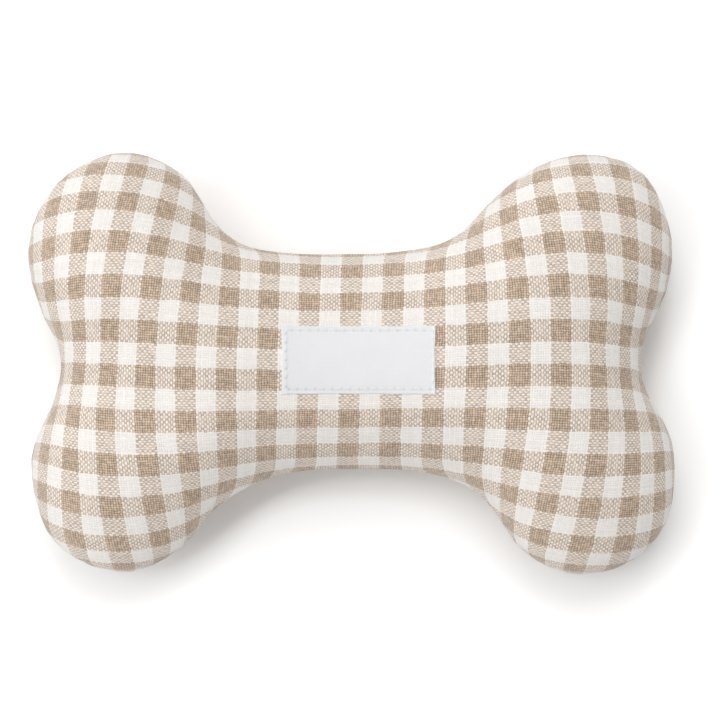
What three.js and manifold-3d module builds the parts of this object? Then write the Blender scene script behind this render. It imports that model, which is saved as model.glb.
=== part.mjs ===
// A bone-shaped stuffed toy with a squeaker, lying on its back panel.
// Units are millimetres. X runs along the bone, Y across it, Z up through the front panel.
// The origin is on the surface the toy lies on, under the centre of its outline.

import * as THREE from "three";
import { mergeVertices } from "three/addons/utils/BufferGeometryUtils.js";
import Module from "manifold-3d";

const wasm = await Module();
wasm.setup();

// Driving sizes of the whole toy
const toyLength = 202;
const toyWidth = 131.7;
const knobCrown = 24.5;
const junctionCrown = 24;
const shaftCrown = 21;
const restFlatDepth = 0.5;

// Cloth, seam and thread
const clothThickness = 0.8;
const seamAllowance = 6;
const seamGap = 0.3;
const looseGap = 0.3;
const threadDiameter = 0.4;
const openingLength = 52;
const handStitchLength = 5;
const handStitchWidth = 2.2;

// Label
const labelLength = 47;
const labelWidth = 21;
const labelThickness = 0.5;
const labelOffsetX = 2.2;
const labelOffsetY = 1;
const labelStitchInset = 1.5;
const labelStitchGap = 0.6;

// Stuffing in the shaft, as heights above or below the seam plane
const shaftWadHalfLength = 36;
const frontWadBottom = 10.5;
const backWadTop = -4.5;
const coreWall = 3;

// Squeaker, centred on the seam plane with its plug downwards
const bladderDiameter = 44;
const bladderHeight = 20;
const bladderWall = 0.9;
const bladderSquareness = 2.6;
const plugBodyDiameter = 9.2;
const plugBore = 6;
const plugLength = 7.6;
const plugFlangeDiameter = 14;
const plugFlangeThickness = 1.2;
const plugBeadDiameter = 11;
const plugBeadHeight = 1;
const insertLength = 6.6;
const clampLength = 2.2;
const channelWidth = 1.4;
const channelDepth = 1;
const channelEndWall = 0.8;
const reedWidth = 3.6;
const reedLength = 6;
const reedThickness = 0.15;
const reedRootInset = 0.1;

// Mesh fineness, as counts
const ribCount = 88;
const turnSegments = 24;
const smallTurnSegments = 16;
const threadSides = 4;
const seamThreadSteps = 110;
const stepsPerHandStitch = 6;
const stepsPerLabelSide = 10;
const labelColumns = 12;
const labelRows = 6;
const bladderRings = 10;
const ribEvenings = 6;

// How far each ring lies along its rib, from the edge to the spine
const ringShares = [0.06, 0.2, 0.4, 0.64, 0.87];

// The outline, counter-clockwise from the lower edge of the shaft,
// as shares of half the length and half the width
const outlineShares = [
  [0.025, -0.499], [0.257, -0.525], [0.398, -0.622], [0.477, -0.789],
  [0.548, -0.912], [0.681, -0.996], [0.841, -0.953], [0.938, -0.827],
  [0.982, -0.696], [0.99, -0.387], [0.928, -0.182], [0.892, -0.08],
  [0.902, 0.123], [0.964, 0.312], [0.987, 0.587], [0.892, 0.909],
  [0.738, 0.99], [0.601, 0.954], [0.496, 0.862], [0.404, 0.729],
  [0.312, 0.59], [0.119, 0.526], [-0.02, 0.519], [-0.186, 0.522],
  [-0.352, 0.568], [-0.42, 0.659], [-0.529, 0.899], [-0.7, 1.001],
  [-0.871, 0.907], [-0.966, 0.732], [-1.002, 0.507], [-0.956, 0.231],
  [-0.914, 0.11], [-0.895, 0.002], [-0.922, -0.172], [-0.989, -0.421],
  [-0.973, -0.673], [-0.924, -0.834], [-0.826, -0.943], [-0.7, -0.987],
  [-0.593, -0.938], [-0.51, -0.842], [-0.41, -0.668], [-0.225, -0.528],
];

// Centres of the knobs and ends of the shaft's spine, as the same kind of shares
const knobCentreShares = {
  leftUpper: [-0.707, 0.527],
  leftLower: [-0.707, -0.54],
  rightUpper: [0.683, 0.523],
  rightLower: [0.714, -0.545],
};
const junctionShare = 0.6;
const crownBlendShare = 0.26;

// Depths that follow from the sizes above
const threadRadius = threadDiameter / 2;
const stuffingGap = clothThickness + looseGap;
const seamRoom = seamGap / 2 + clothThickness + looseGap + threadDiameter + looseGap;

const materials = {
  gingham: { color: 0xd8cdbb, roughness: 0.95, metalness: 0 },
  label: { color: 0xeeeff3, roughness: 0.8, metalness: 0 },
  thread: { color: 0xf2f0ec, roughness: 0.7, metalness: 0 },
  stuffing: { color: 0xf4f4f2, roughness: 1, metalness: 0 },
  bladder: { color: 0xe9ebe8, roughness: 0.35, metalness: 0 },
  insert: { color: 0xf0efe9, roughness: 0.4, metalness: 0 },
  reed: { color: 0xdfe6ea, roughness: 0.2, metalness: 0 },
};

const toy = new THREE.Group();

function addPart(name, geometry, materialName, parent = toy) {
  const mesh = new THREE.Mesh(geometry, new THREE.MeshStandardMaterial(materials[materialName]));
  mesh.name = name;
  parent.add(mesh);
  return mesh;
}

// Closed solids that can be joined and cut
function solidOf(geometry) {
  const bare = geometry.clone();
  bare.deleteAttribute("normal");
  bare.deleteAttribute("uv");
  const merged = mergeVertices(bare);
  return new wasm.Manifold(
    new wasm.Mesh({
      numProp: 3,
      vertProperties: Float32Array.from(merged.attributes.position.array),
      triVerts: Uint32Array.from(merged.index.array),
    }),
  );
}

function geometryOf(solid) {
  const mesh = solid.getMesh();
  const geometry = new THREE.BufferGeometry();
  geometry.setAttribute("position", new THREE.BufferAttribute(mesh.vertProperties, 3));
  geometry.setIndex(new THREE.BufferAttribute(mesh.triVerts, 1));
  geometry.computeVertexNormals();
  return geometry;
}

function boxBetween(low, high) {
  const size = new THREE.Vector3().subVectors(high, low);
  const centre = new THREE.Vector3().addVectors(low, high).multiplyScalar(0.5);
  return new THREE.BoxGeometry(size.x, size.y, size.z).translate(centre.x, centre.y, centre.z);
}

// Outline of the toy in the seam plane, moved so that the middle of its extent is the origin
function drawnPlace([xShare, yShare]) {
  return new THREE.Vector3((xShare * toyLength) / 2, (yShare * toyWidth) / 2, 0);
}

function smoothLoop(points) {
  return new THREE.CatmullRomCurve3(points, true, "centripetal");
}

const drawnPoints = outlineShares.map(drawnPlace);
const drawnBox = new THREE.Box3().setFromPoints(smoothLoop(drawnPoints).getSpacedPoints(ribCount));
const drawnMiddle = drawnBox.getCenter(new THREE.Vector3());
const outlineCurve = smoothLoop(drawnPoints.map((point) => point.clone().sub(drawnMiddle)));

function sharedPlace(pair) {
  const place = drawnPlace(pair).sub(drawnMiddle);
  return new THREE.Vector2(place.x, place.y);
}

const ribs = Array.from({ length: ribCount }, (unused, index) => {
  const along = index / ribCount;
  const edge = outlineCurve.getPointAt(along);
  const tangent = outlineCurve.getTangentAt(along);
  return {
    edge: new THREE.Vector2(edge.x, edge.y),
    outward: new THREE.Vector2(tangent.y, -tangent.x),
  };
});

// The spine that the ribs run to: a line along the shaft and a spur into each knob
const junctionX = (junctionShare * toyLength) / 2;
const leftJunction = new THREE.Vector2(-junctionX, 0);
const rightJunction = new THREE.Vector2(junctionX, 0);
const knobCentres = {
  leftUpper: sharedPlace(knobCentreShares.leftUpper),
  leftLower: sharedPlace(knobCentreShares.leftLower),
  rightUpper: sharedPlace(knobCentreShares.rightUpper),
  rightLower: sharedPlace(knobCentreShares.rightLower),
};
const spine = [
  [leftJunction, rightJunction],
  [leftJunction, knobCentres.leftUpper],
  [leftJunction, knobCentres.leftLower],
  [rightJunction, knobCentres.rightUpper],
  [rightJunction, knobCentres.rightLower],
];

function nearestOnSegment(place, [start, end]) {
  const run = end.clone().sub(start);
  const share = place.clone().sub(start).dot(run) / run.lengthSq();
  return start.clone().addScaledVector(run, THREE.MathUtils.clamp(share, 0, 1));
}

function nearestOnSpine(place) {
  const feet = spine.map((segment) => nearestOnSegment(place, segment));
  return feet.reduce((best, foot) => (foot.distanceTo(place) < best.distanceTo(place) ? foot : best));
}

// Each rib's foot starts at the nearest place on the spine,
// and is then evened out with its neighbours so that the ribs fan smoothly
let feet = ribs.map((rib) => nearestOnSpine(rib.edge));
for (let pass = 0; pass < ribEvenings; pass += 1) {
  feet = feet.map((foot, index) => {
    const before = feet[(index + ribCount - 1) % ribCount];
    const after = feet[(index + 1) % ribCount];
    return foot.clone().multiplyScalar(2).add(before).add(after).multiplyScalar(0.25);
  });
}

// Mean distance to the outline over every direction: nothing at the edge, largest in the middle
function meanDistance(place) {
  const spokes = ribs.map((rib) => rib.edge.clone().sub(place));
  const halfTangents = spokes.map((spoke, index) => {
    const next = spokes[(index + 1) % ribCount];
    return Math.tan(Math.atan2(spoke.cross(next), spoke.dot(next)) / 2);
  });
  const sum = spokes.reduce((total, spoke, index) => {
    const before = halfTangents[(index + ribCount - 1) % ribCount];
    return total + (before + halfTangents[index]) / spoke.length();
  }, 0);
  return 1 / sum;
}

// The crown's height over the seam plane rises as the root of the mean distance.
// Each anchor sets how high it is at one place, and the anchors blend into each other.
const shaftCentre = new THREE.Vector2(0, 0);
const crownAnchors = [
  { place: shaftCentre, crown: shaftCrown },
  { place: leftJunction, crown: junctionCrown },
  { place: rightJunction, crown: junctionCrown },
  ...Object.values(knobCentres).map((place) => ({ place, crown: knobCrown })),
].map(({ place, crown }) => ({ place, factor: crown / Math.sqrt(meanDistance(place)) }));
const crownBlend = (crownBlendShare * toyLength) / 2;

function crownAt(place) {
  let weights = 0;
  let factors = 0;
  for (const { place: anchor, factor } of crownAnchors) {
    const weight = 1 / (anchor.distanceToSquared(place) + crownBlend * crownBlend) ** 2;
    weights += weight;
    factors += weight * factor;
  }
  return (factors / weights) * Math.sqrt(meanDistance(place));
}

// Slope of the crown along X and along Y, measured over a small step
const slopeStepShare = 0.1;
const slopeStep = clothThickness * slopeStepShare;

function crownSlope(place) {
  const ahead = (x, y) => crownAt(new THREE.Vector2(place.x + x, place.y + y));
  return new THREE.Vector2(
    (ahead(slopeStep, 0) - ahead(-slopeStep, 0)) / (2 * slopeStep),
    (ahead(0, slopeStep) - ahead(0, -slopeStep)) / (2 * slopeStep),
  );
}

// The rings of one crown, each point with its height and its outward normal
const crownRings = ringShares.map((share) =>
  ribs.map((rib, index) => {
    const place = rib.edge.clone().lerp(feet[index], share);
    const slope = crownSlope(place);
    return {
      place,
      crown: crownAt(place),
      normal: new THREE.Vector3(-slope.x, -slope.y, 1).normalize(),
    };
  }),
);

// The back lies on its four knobs, and the lowest of their crowns is pressed flat by the stated depth
const knobPeaks = Object.values(knobCentres).map((centre) => {
  const points = crownRings.flat().filter(({ place }) => place.x * centre.x > 0 && place.y * centre.y > 0);
  return Math.max(...points.map((point) => point.crown));
});
const restCrown = Math.min(...knobPeaks) - restFlatDepth;
const seamZ = restCrown + seamGap / 2;

// Points of one ring, moved inwards by a depth; side is 1 for the front and -1 for the back
function domeRing(ring, depth, side) {
  return ring.map(({ place, crown, normal }) => {
    const height = (side > 0 ? crown : Math.min(crown, restCrown)) - depth * normal.z;
    const z = seamZ + side * (seamGap / 2 + height);
    return new THREE.Vector3(place.x - depth * normal.x, place.y - depth * normal.y, z);
  });
}

// Points at one distance inside the outline, at one height
function insetRing(inset, z) {
  return ribs.map(({ edge, outward }) => {
    const place = edge.clone().addScaledVector(outward, -inset);
    return new THREE.Vector3(place.x, place.y, z);
  });
}

function domeRings(depth, side) {
  return crownRings.map((ring) => domeRing(ring, depth, side));
}

// Triangles that fill a ring seen from above. Wherever two of them share an edge
// and the other diagonal of their four corners is shorter, the edge is swapped for it.
function filledOutline(ring) {
  const flat = ring.map((point) => new THREE.Vector2(point.x, point.y));
  const triangles = THREE.ShapeUtils.triangulateShape(flat, []);
  const turn = (from, to, past) => {
    const run = flat[to].clone().sub(flat[from]);
    return run.cross(flat[past].clone().sub(flat[from]));
  };
  let swapped = true;
  while (swapped) {
    swapped = false;
    const owners = new Map();
    for (const triangle of triangles) {
      for (let corner = 0; corner < 3; corner += 1) {
        const start = triangle[corner];
        const end = triangle[(corner + 1) % 3];
        const apex = triangle[(corner + 2) % 3];
        const other = owners.get(`${end},${start}`);
        const shorter = other && flat[apex].distanceTo(flat[other.apex]) < flat[start].distanceTo(flat[end]);
        if (shorter && turn(other.apex, end, apex) > 0 && turn(apex, start, other.apex) > 0) {
          triangle.splice(0, 3, apex, start, other.apex);
          other.triangle.splice(0, 3, other.apex, end, apex);
          swapped = true;
          break;
        }
        owners.set(`${start},${end}`, { triangle, apex });
      }
      if (swapped) {
        break;
      }
    }
  }
  return triangles;
}

// A closed skin through rings of equally many points, with its first and last ring filled in
function loft(rings) {
  const count = rings[0].length;
  const positions = rings.flat().flatMap((point) => [point.x, point.y, point.z]);
  const triangles = [];
  for (let ring = 0; ring + 1 < rings.length; ring += 1) {
    for (let index = 0; index < count; index += 1) {
      const next = (index + 1) % count;
      const near = ring * count;
      const far = near + count;
      triangles.push([near + index, far + index, near + next]);
      triangles.push([near + next, far + index, far + next]);
    }
  }
  const fillIn = (ring) =>
    filledOutline(rings[ring]).map((corners) => corners.map((corner) => ring * count + corner));
  triangles.push(...fillIn(0));
  triangles.push(...fillIn(rings.length - 1).map(([first, second, third]) => [third, second, first]));
  const geometry = new THREE.BufferGeometry();
  geometry.setAttribute("position", new THREE.Float32BufferAttribute(positions, 3));
  geometry.setIndex(triangles.flat());
  geometry.computeVertexNormals();
  return geometry;
}

function flipped(geometry) {
  const index = geometry.index.array;
  for (let corner = 0; corner < index.length; corner += 3) {
    [index[corner], index[corner + 2]] = [index[corner + 2], index[corner]];
  }
  geometry.computeVertexNormals();
  return geometry;
}

// Cloth panel: a crown of cloth with its seam allowance turned inwards along the seam plane
function panelGeometry(side) {
  const seamFace = seamZ + (side * seamGap) / 2;
  const innerFace = seamFace + side * clothThickness;
  const rings = [
    ...domeRings(0, side).reverse(),
    insetRing(0, seamFace),
    insetRing(seamAllowance, seamFace),
    insetRing(seamAllowance, innerFace),
    insetRing(clothThickness, innerFace),
    ...domeRings(clothThickness, side),
  ];
  const geometry = loft(rings);
  return side > 0 ? geometry : flipped(geometry);
}

// All the stuffing as one pillow, with a slot all round for the seam allowance and its threads
function pillowGeometry(frontDepth) {
  const slotEnd = seamAllowance + looseGap;
  const slotMouth = stuffingGap + looseGap;
  return loft([
    ...domeRings(frontDepth, 1).reverse(),
    insetRing(slotMouth, seamZ + seamRoom),
    insetRing(slotEnd, seamZ + seamRoom),
    insetRing(slotEnd, seamZ - seamRoom),
    insetRing(slotMouth, seamZ - seamRoom),
    ...domeRings(stuffingGap, -1),
  ]);
}

// A solid of revolution round the upright axis through the squeaker's centre
function turned(profile, segments) {
  const points = profile.map(([radius, height]) => new THREE.Vector2(radius, height));
  return new THREE.LatheGeometry(points, segments).rotateX(Math.PI / 2);
}

// Half profile of the bladder's outside, from the lower pole to the upper one
function bladderProfile(growth) {
  const steps = bladderRings;
  const radius = bladderDiameter / 2 + growth;
  const halfHeight = bladderHeight / 2 + growth;
  const power = 2 / bladderSquareness;
  return Array.from({ length: steps + 1 }, (unused, step) => {
    const angle = -Math.PI / 2 + (Math.PI * step) / steps;
    const reach = step === 0 || step === steps ? 0 : Math.cos(angle) ** power;
    const rise = Math.sign(Math.sin(angle)) * Math.abs(Math.sin(angle)) ** power;
    return [radius * reach, halfHeight * rise];
  });
}

// Places along the squeaker's upright axis, from the bladder's lower pole
const bladderBottom = -bladderHeight / 2;
const flangeTop = bladderBottom - looseGap;
const flangeBottom = flangeTop - plugFlangeThickness;
const plugTop = flangeTop + plugLength;
const beadBottom = bladderBottom + bladderWall + looseGap;
const insertBottom = flangeBottom + looseGap;
const insertTop = insertBottom + insertLength;
const plugHole = plugBodyDiameter / 2 + looseGap;

function squeakerRoom() {
  const bladder = solidOf(turned(bladderProfile(looseGap), turnSegments));
  const flangeRadius = plugFlangeDiameter / 2 + looseGap;
  const flange = solidOf(
    turned(
      [
        [0, flangeBottom - looseGap],
        [flangeRadius, flangeBottom - looseGap],
        [flangeRadius, 0],
        [0, 0],
      ],
      smallTurnSegments,
    ),
  );
  return bladder.add(flange).translate([0, 0, seamZ]);
}

// Cloth
addPart("front_panel", panelGeometry(1), "gingham");
addPart("back_panel", panelGeometry(-1), "gingham");

// Threads of the seam, which stop at both ends of the opening
function threadGeometry(points, steps) {
  const section = new THREE.Shape();
  section.absarc(0, 0, threadRadius, 0, 2 * Math.PI, false);
  return new THREE.ExtrudeGeometry(section, {
    steps,
    curveSegments: threadSides / 2,
    bevelEnabled: false,
    extrudePath: new THREE.CatmullRomCurve3(points, false, "centripetal"),
  });
}

const threadInset = stuffingGap + looseGap + threadRadius;
const threadHeight = seamGap / 2 + clothThickness + looseGap + threadRadius;
const outlineLength = outlineCurve.getLength();
const openingShare = openingLength / outlineLength / 2;
const openingMiddleShare = 1 - (outlineShares[0][0] * toyLength) / 2 / outlineLength;

function insideSeam(along, inset, z) {
  const wrapped = (along + 1) % 1;
  const edge = outlineCurve.getPointAt(wrapped);
  const tangent = outlineCurve.getTangentAt(wrapped);
  return new THREE.Vector3(edge.x - tangent.y * inset, edge.y + tangent.x * inset, z);
}

function seamThread(side) {
  const start = openingMiddleShare + openingShare;
  const run = 1 - 2 * openingShare;
  const z = seamZ + side * threadHeight;
  const points = Array.from({ length: ribCount + 1 }, (unused, index) =>
    insideSeam(start + (run * index) / ribCount, threadInset, z),
  );
  return threadGeometry(points, seamThreadSteps);
}

addPart("seam_needle_thread", seamThread(1), "thread");
addPart("seam_bobbin_thread", seamThread(-1), "thread");

// Hand stitches across the opening, back and forth along the seam
const handStitchCount = Math.floor((openingLength - 2 * handStitchLength) / handStitchLength);
const handStitchPoints = Array.from({ length: handStitchCount * 2 + 1 }, (unused, index) => {
  const along = ((index - handStitchCount) * handStitchLength) / 2 / outlineLength;
  const inset = threadInset + (index % 2) * handStitchWidth;
  return insideSeam(openingMiddleShare + along, inset, seamZ + threadHeight);
});
addPart("closing_thread", threadGeometry(handStitchPoints, handStitchCount * stepsPerHandStitch), "thread");

// Label, which follows the crown of the front panel
const frontSurface = (x, y) => seamZ + seamGap / 2 + crownAt(new THREE.Vector2(x, y));

function gridSheet(columns, rows, low, thickness) {
  const points = [];
  for (const lift of [low, low + thickness]) {
    for (let row = 0; row <= rows; row += 1) {
      for (let column = 0; column <= columns; column += 1) {
        const x = labelOffsetX + labelLength * (column / columns - 0.5);
        const y = labelOffsetY + labelWidth * (row / rows - 0.5);
        points.push(x, y, frontSurface(x, y) + lift);
      }
    }
  }
  const layer = (columns + 1) * (rows + 1);
  const at = (column, row, level) => level * layer + row * (columns + 1) + column;
  const triangles = [];
  const quad = (first, second, third, fourth) => {
    triangles.push(first, second, third, first, third, fourth);
  };
  for (let row = 0; row < rows; row += 1) {
    for (let column = 0; column < columns; column += 1) {
      const corners = [
        [column, row],
        [column + 1, row],
        [column + 1, row + 1],
        [column, row + 1],
      ];
      quad(...corners.map(([x, y]) => at(x, y, 1)));
      quad(...corners.map(([x, y]) => at(x, y, 0)).reverse());
    }
  }
  const rim = [];
  for (let column = 0; column < columns; column += 1) {
    rim.push([column, 0]);
  }
  for (let row = 0; row < rows; row += 1) {
    rim.push([columns, row]);
  }
  for (let column = columns; column > 0; column -= 1) {
    rim.push([column, rows]);
  }
  for (let row = rows; row > 0; row -= 1) {
    rim.push([0, row]);
  }
  rim.forEach(([x, y], index) => {
    const [nextX, nextY] = rim[(index + 1) % rim.length];
    quad(at(x, y, 0), at(nextX, nextY, 0), at(nextX, nextY, 1), at(x, y, 1));
  });
  const geometry = new THREE.BufferGeometry();
  geometry.setAttribute("position", new THREE.Float32BufferAttribute(points, 3));
  geometry.setIndex(triangles);
  geometry.computeVertexNormals();
  return geometry;
}

const labelLow = looseGap;
addPart("label", gridSheet(labelColumns, labelRows, labelLow, labelThickness), "label");

// One row of stitches round the label, from corner to corner, ending just short of its start
function labelThread(lift) {
  const halfLength = labelLength / 2 - labelStitchInset;
  const halfWidth = labelWidth / 2 - labelStitchInset;
  const corners = [
    [-halfLength + 2 * threadDiameter, -halfWidth],
    [halfLength, -halfWidth],
    [halfLength, halfWidth],
    [-halfLength, halfWidth],
    [-halfLength, -halfWidth + 2 * threadDiameter],
  ];
  const points = [];
  corners.slice(1).forEach(([x, y], side) => {
    const [startX, startY] = corners[side];
    for (let step = side === 0 ? 0 : 1; step <= stepsPerLabelSide; step += 1) {
      const placeX = labelOffsetX + startX + ((x - startX) * step) / stepsPerLabelSide;
      const placeY = labelOffsetY + startY + ((y - startY) * step) / stepsPerLabelSide;
      points.push(new THREE.Vector3(placeX, placeY, frontSurface(placeX, placeY) + lift));
    }
  });
  return threadGeometry(points, 4 * stepsPerLabelSide);
}

const needleLift = labelLow + labelThickness + looseGap + threadRadius;
const bobbinLift = -(clothThickness + labelStitchGap + threadRadius);
addPart("label_needle_thread", labelThread(needleLift), "thread");
addPart("label_bobbin_thread", labelThread(bobbinLift), "thread");

// Stuffing
const farX = toyLength;
const farY = toyWidth;
const farZ = seamZ + toyWidth;
const halfGap = looseGap / 2;

function wad(pillow, low, high) {
  return pillow.intersect(solidOf(boxBetween(low, high)));
}

const pillow = solidOf(pillowGeometry(stuffingGap));
const knobWadStart = shaftWadHalfLength + halfGap;
for (const [name, xSide, ySide] of [
  ["stuffing_knob_left_upper", -1, 1],
  ["stuffing_knob_left_lower", -1, -1],
  ["stuffing_knob_right_upper", 1, 1],
  ["stuffing_knob_right_lower", 1, -1],
]) {
  const near = [xSide * knobWadStart, ySide * halfGap];
  const far = [xSide * farX, ySide * farY];
  const low = new THREE.Vector3(Math.min(near[0], far[0]), Math.min(near[1], far[1]), -farZ);
  const high = new THREE.Vector3(Math.max(near[0], far[0]), Math.max(near[1], far[1]), farZ);
  addPart(name, geometryOf(wad(pillow, low, high)), "stuffing");
}

// In the shaft: a back wad, a wad along each side, and between those a core in two wads,
// of which the front one is pressed in and the middle one gives way round the squeaker
const shaftEnd = shaftWadHalfLength - halfGap;
const backTop = seamZ + backWadTop;
const middleBottom = backTop + looseGap;
const frontBottom = seamZ + frontWadBottom;
const coreWadHalfWidth = bladderDiameter / 2 + coreWall;
const sideStart = coreWadHalfWidth + looseGap;
const frontDepth = clothThickness + labelStitchGap + threadDiameter + looseGap;
const room = squeakerRoom();

function shaftWad(source, [lowY, highY], [lowZ, highZ]) {
  const low = new THREE.Vector3(-shaftEnd, lowY, lowZ);
  const high = new THREE.Vector3(shaftEnd, highY, highZ);
  return geometryOf(wad(source, low, high).subtract(room));
}

const core = [-coreWadHalfWidth, coreWadHalfWidth];
const frontPillow = solidOf(pillowGeometry(frontDepth));
addPart("stuffing_shaft_back", shaftWad(pillow, [-farY, farY], [-farZ, backTop]), "stuffing");
addPart("stuffing_shaft_side_upper", shaftWad(pillow, [sideStart, farY], [middleBottom, farZ]), "stuffing");
addPart("stuffing_shaft_side_lower", shaftWad(pillow, [-farY, -sideStart], [middleBottom, farZ]), "stuffing");
addPart("stuffing_shaft_middle", shaftWad(pillow, core, [middleBottom, frontBottom - looseGap]), "stuffing");
addPart("stuffing_shaft_front", shaftWad(frontPillow, core, [frontBottom, farZ]), "stuffing");

// Squeaker
const squeaker = new THREE.Group();
squeaker.position.z = seamZ;
toy.add(squeaker);

const bladderSolid = solidOf(turned(bladderProfile(0), turnSegments))
  .subtract(solidOf(turned(bladderProfile(-bladderWall), turnSegments)))
  .subtract(
    solidOf(
      turned(
        [
          [0, bladderBottom - bladderWall],
          [plugHole, bladderBottom - bladderWall],
          [plugHole, 0],
          [0, 0],
        ],
        smallTurnSegments,
      ),
    ),
  );
addPart("squeaker_bladder", geometryOf(bladderSolid), "bladder", squeaker);

const plugProfile = [
  [plugBore / 2, flangeBottom],
  [plugFlangeDiameter / 2, flangeBottom],
  [plugFlangeDiameter / 2, flangeTop],
  [plugBodyDiameter / 2, flangeTop],
  [plugBodyDiameter / 2, beadBottom],
  [plugBeadDiameter / 2, beadBottom],
  [plugBodyDiameter / 2, beadBottom + plugBeadHeight],
  [plugBodyDiameter / 2, plugTop],
  [plugBore / 2, plugTop],
  [plugBore / 2, flangeBottom],
];
addPart("squeaker_plug", turned(plugProfile, smallTurnSegments), "insert", squeaker);

// Half-round inserts in the plug's bore, with the reed between their flat faces
const insertRadius = plugBore / 2 - looseGap;

function halfRound(faceY, side, bottom, length) {
  const section = new THREE.Shape();
  const startAngle = Math.asin(faceY / insertRadius);
  const endAngle = Math.PI - startAngle;
  section.absarc(0, 0, insertRadius, startAngle, side > 0 ? endAngle : endAngle - 2 * Math.PI, side < 0);
  section.closePath();
  return new THREE.ExtrudeGeometry(section, {
    depth: length,
    curveSegments: smallTurnSegments / 2,
    bevelEnabled: false,
  }).translate(0, 0, bottom);
}

const seatFaceY = -(reedThickness / 2 + looseGap);
const clampFaceY = reedThickness / 2 + looseGap;
const channelLow = new THREE.Vector3(-channelWidth / 2, seatFaceY - channelDepth, insertBottom - looseGap);
const channelHigh = new THREE.Vector3(channelWidth / 2, plugBore, insertTop - channelEndWall);
const seatSolid = solidOf(halfRound(seatFaceY, -1, insertBottom, insertLength)).subtract(
  solidOf(boxBetween(channelLow, channelHigh)),
);
addPart("reed_seat", geometryOf(seatSolid), "insert", squeaker);
addPart("reed_clamp", halfRound(clampFaceY, 1, insertBottom, clampLength), "insert", squeaker);

const reedBottom = insertBottom + reedRootInset;
const reedLow = new THREE.Vector3(-reedWidth / 2, -reedThickness / 2, reedBottom);
const reedHigh = new THREE.Vector3(reedWidth / 2, reedThickness / 2, reedBottom + reedLength);
addPart("reed", boxBetween(reedLow, reedHigh), "reed", squeaker);

export default toy;
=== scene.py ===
"""A bone-shaped stuffed dog toy in gingham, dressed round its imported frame. Units are metres."""

import math

import bpy
import numpy as np
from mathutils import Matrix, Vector, noise
from mathutils.bvhtree import BVHTree
from mathutils.geometry import delaunay_2d_cdt


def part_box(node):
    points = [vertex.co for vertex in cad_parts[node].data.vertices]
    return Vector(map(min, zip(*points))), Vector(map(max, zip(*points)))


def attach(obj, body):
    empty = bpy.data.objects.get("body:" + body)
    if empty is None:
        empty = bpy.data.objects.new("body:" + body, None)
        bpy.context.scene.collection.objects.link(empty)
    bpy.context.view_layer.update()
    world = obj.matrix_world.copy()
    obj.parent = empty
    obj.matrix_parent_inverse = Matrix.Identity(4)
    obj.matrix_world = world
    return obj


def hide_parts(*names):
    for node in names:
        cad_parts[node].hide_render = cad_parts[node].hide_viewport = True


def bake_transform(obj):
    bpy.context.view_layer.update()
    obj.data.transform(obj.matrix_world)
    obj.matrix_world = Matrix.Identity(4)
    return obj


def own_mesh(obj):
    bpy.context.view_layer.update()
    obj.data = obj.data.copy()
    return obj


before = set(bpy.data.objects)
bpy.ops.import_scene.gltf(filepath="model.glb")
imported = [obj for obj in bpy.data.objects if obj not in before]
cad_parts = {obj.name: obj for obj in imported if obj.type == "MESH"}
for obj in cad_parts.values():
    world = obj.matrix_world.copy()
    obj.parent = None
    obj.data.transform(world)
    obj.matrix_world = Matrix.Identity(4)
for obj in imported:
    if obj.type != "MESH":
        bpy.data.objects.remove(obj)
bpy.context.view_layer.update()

scene = bpy.context.scene

# Sizes that the frame gives
SEAM_Z = (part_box("front_panel")[0].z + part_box("back_panel")[1].z) / 2
LABEL_LOW, LABEL_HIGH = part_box("label")
PLUG_LOW, PLUG_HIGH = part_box("squeaker_plug")
BLADDER_LOW, BLADDER_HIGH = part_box("squeaker_bladder")

BLADDER_R = (BLADDER_HIGH.x - BLADDER_LOW.x) / 2
BLADDER_HALF = (BLADDER_HIGH.z - BLADDER_LOW.z) / 2

# Cloth
CLOTH = 0.0008
ALLOWANCE_INSETS = (0.0024, 0.0042, 0.006)
ROLL = 0.0011
ROLL_TURNS = (22.5, 45, 67.5, 90)
SEAM_HALF_GAP = 0.00003
REST_SOFTNESS = 0.0004
CHECK = 0.0127
ENDS_PER_CHECK = 16
PICKS_PER_CHECK = 18

# Triangles that a panel is made from before it is smoothed
MESH_STEP = 0.0026
WALL_REACH = 0.009
RIM_CLEARANCE = 0.62 * MESH_STEP
FACING_BLEND = 0.002

# How high each crown stands over the seam, as x, y and height
CROWNS = [
    (0.0, 0.0, 0.021),
    (-0.0606, 0.0, 0.024),
    (0.0606, 0.0, 0.024),
    (-0.0707, 0.0345, 0.0245),
    (-0.0707, -0.0358, 0.0245),
    (0.0697, 0.0342, 0.0245),
    (0.0728, -0.0361, 0.0245),
]
CROWN_BLEND = 0.0263


def placed(name, data):
    """A new object in the scene."""
    made = bpy.data.objects.new(name, data)
    scene.collection.objects.link(made)
    return made


def set_all(thing, **values):
    for name, value in values.items():
        setattr(thing, name, value)
    return thing


def modify(made, kind, **values):
    set_all(made.modifiers.new(kind.lower(), kind), **values)


# Camera, straight above as in the photograph
CAMERA_OVER = (0.0027, 0.0010)
CAMERA_HEIGHT = 1.0
camera_data = set_all(bpy.data.cameras.new("camera"), lens=160, sensor_width=36)
scene.camera = placed("camera", camera_data)
scene.camera.location = (*CAMERA_OVER, CAMERA_HEIGHT + SEAM_Z)


# Meshes
def new_object(name, points, faces, places=None):
    """An object, with the place of each point on its flat cloth where that is given."""
    mesh = bpy.data.meshes.new(name)
    mesh.from_pydata([tuple(p) for p in points], [], [tuple(f) for f in faces])
    if places is not None:
        layer = mesh.uv_layers.new(name="cloth")
        layer.data.foreach_set("uv", np.asarray(places, float)[corner_vertices(mesh)].ravel())
    mesh.shade_smooth()
    return placed(name, mesh)


def corner_vertices(mesh):
    """The vertex at each corner of each face."""
    corners = np.empty(len(mesh.loops), int)
    mesh.loops.foreach_get("vertex_index", corners)
    return corners


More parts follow.
